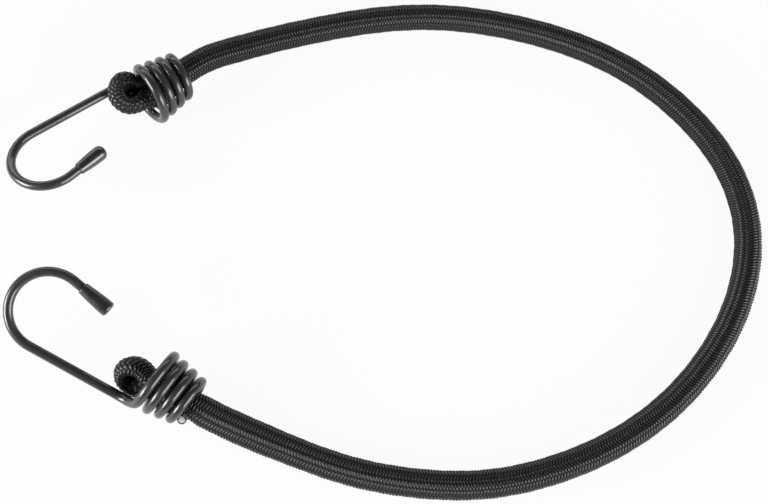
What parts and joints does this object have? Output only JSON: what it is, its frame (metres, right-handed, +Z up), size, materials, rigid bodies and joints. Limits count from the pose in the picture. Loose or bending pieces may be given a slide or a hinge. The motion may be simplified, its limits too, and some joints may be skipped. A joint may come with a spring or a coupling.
{
  "type": "bungee cord",
  "caption": "Elastic bungee cord in a braided sheath, its ends folded back into the coils of bent wire hooks with capped tips, for holding down a load.",
  "frame": {"origin": "on the floor under the middle of the box round the two hooks and the folded cord in their coils", "axes": "+X from the hooks towards the far bend of the lying cord, +Y from hook b to hook a, +Z up"},
  "size_m": [0.246, 0.1706, 0.025],
  "materials": {
    "braid": "black braided yarn",
    "rubber_core": "plain rubber strands",
    "coated_wire": "dark satin coating on steel",
    "vinyl": "soft glossy vinyl"
  },
  "bodies": {
    "cord": {"sheath": "braid", "core_strand_1": "rubber_core", "core_strand_2": "rubber_core", "core_strand_3": "rubber_core", "core_strand_4": "rubber_core", "core_strand_5": "rubber_core", "core_strand_6": "rubber_core", "core_strand_7": "rubber_core"},
    "end_a": {"folded_sheath_a": "braid", "folded_strand_a_1": "rubber_core", "folded_strand_a_2": "rubber_core", "folded_strand_a_3": "rubber_core", "folded_strand_a_4": "rubber_core", "folded_strand_a_5": "rubber_core", "folded_strand_a_6": "rubber_core", "folded_strand_a_7": "rubber_core"},
    "hook_a": {"hook_wire_a": "coated_wire", "tip_cap_a": "vinyl"},
    "end_b": {"folded_sheath_b": "braid", "folded_strand_b_1": "rubber_core", "folded_strand_b_2": "rubber_core", "folded_strand_b_3": "rubber_core", "folded_strand_b_4": "rubber_core", "folded_strand_b_5": "rubber_core", "folded_strand_b_6": "rubber_core", "folded_strand_b_7": "rubber_core"},
    "hook_b": {"hook_wire_b": "coated_wire", "tip_cap_b": "vinyl"}
  },
  "joints": [
    {"name": "stretch_a", "type": "slide", "parent": "cord", "child": "end_a", "axis": [-1, 0, 0], "range_m": [0, 0.15], "stiffness_N_per_m": 600, "deforming": ["sheath", "core_strand_1", "core_strand_2", "core_strand_3", "core_strand_4", "core_strand_5", "core_strand_6", "core_strand_7"]},
    {"name": "stretch_b", "type": "slide", "parent": "cord", "child": "end_b", "axis": [-1, 0, 0], "range_m": [0, 0.15], "stiffness_N_per_m": 600, "deforming": ["sheath", "core_strand_1", "core_strand_2", "core_strand_3", "core_strand_4", "core_strand_5", "core_strand_6", "core_strand_7"]},
    {"name": "swivel_a", "type": "hinge", "parent": "end_a", "child": "hook_a", "pos_m": [0.0096, 0.0463, 0.01067], "axis": [-0.7944, -0.6052, 0.0523], "range_deg": [0, 180]},
    {"name": "swivel_b", "type": "hinge", "parent": "end_b", "child": "hook_b", "pos_m": [0.0164, -0.0482, 0.01087], "axis": [-0.8367, 0.5067, 0.2079], "range_deg": [0, 180]}
  ]
}
